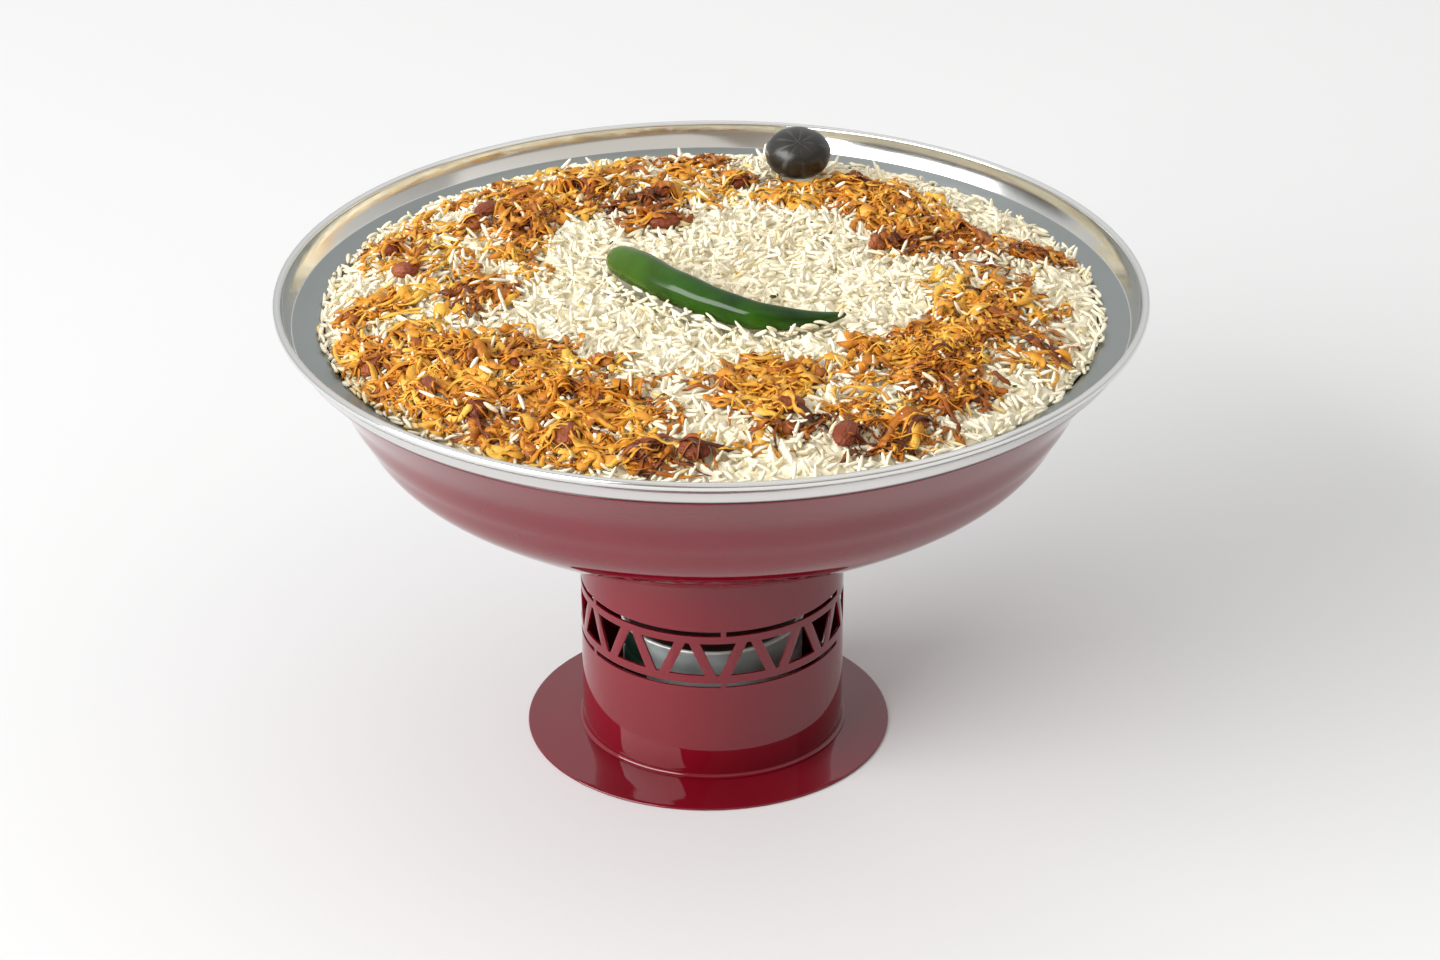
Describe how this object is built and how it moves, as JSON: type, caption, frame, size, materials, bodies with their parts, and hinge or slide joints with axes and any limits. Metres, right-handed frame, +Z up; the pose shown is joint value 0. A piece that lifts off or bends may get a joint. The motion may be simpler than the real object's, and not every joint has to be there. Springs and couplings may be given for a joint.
{
  "type": "bowl of peshawari rice",
  "caption": "Domed long-grain rice with fried onion, raisins, a green chilli and a dried lime, in a rolled-rim dish on a pierced footed warming stand.",
  "frame": {"origin": "middle of the box round the object, on the underside of the base disc", "axes": "+Z up along the axis of the dish and stem, -Y towards the pictured front, +X to its right"},
  "size_m": [0.4, 0.4, 0.2535],
  "materials": {
    "red_enamel": "glossy baked enamel, deep crimson",
    "aluminium": "bright spun aluminium with a satin ledge",
    "tinplate": "dull tinplate with a bright rolled rim",
    "rice_white": "cooked long-grain rice, creamy white",
    "onion_gold": "fried onion, amber to dark brown",
    "raisin_red": "plump fried raisin, dark red-brown",
    "chilli_green": "glossy green chilli skin",
    "lime_black": "dried lime, satin black"
  },
  "bodies": {
    "root": {"base_disc": "red_enamel", "stem_tube": "red_enamel", "outer_bowl": "red_enamel", "fuel_tin": "tinplate", "dish": "aluminium", "rice_bed": "rice_white", "fried_onions": "onion_gold", "green_chilli": "chilli_green", "black_lime": "lime_black", "raisin_01": "raisin_red", "raisin_02": "raisin_red", "raisin_03": "raisin_red", "raisin_04": "raisin_red", "raisin_05": "raisin_red", "raisin_06": "raisin_red", "raisin_07": "raisin_red", "raisin_08": "raisin_red", "raisin_09": "raisin_red", "raisin_10": "raisin_red", "raisin_11": "raisin_red", "raisin_12": "raisin_red", "raisin_13": "raisin_red", "raisin_14": "raisin_red"}
  },
  "joints": []
}
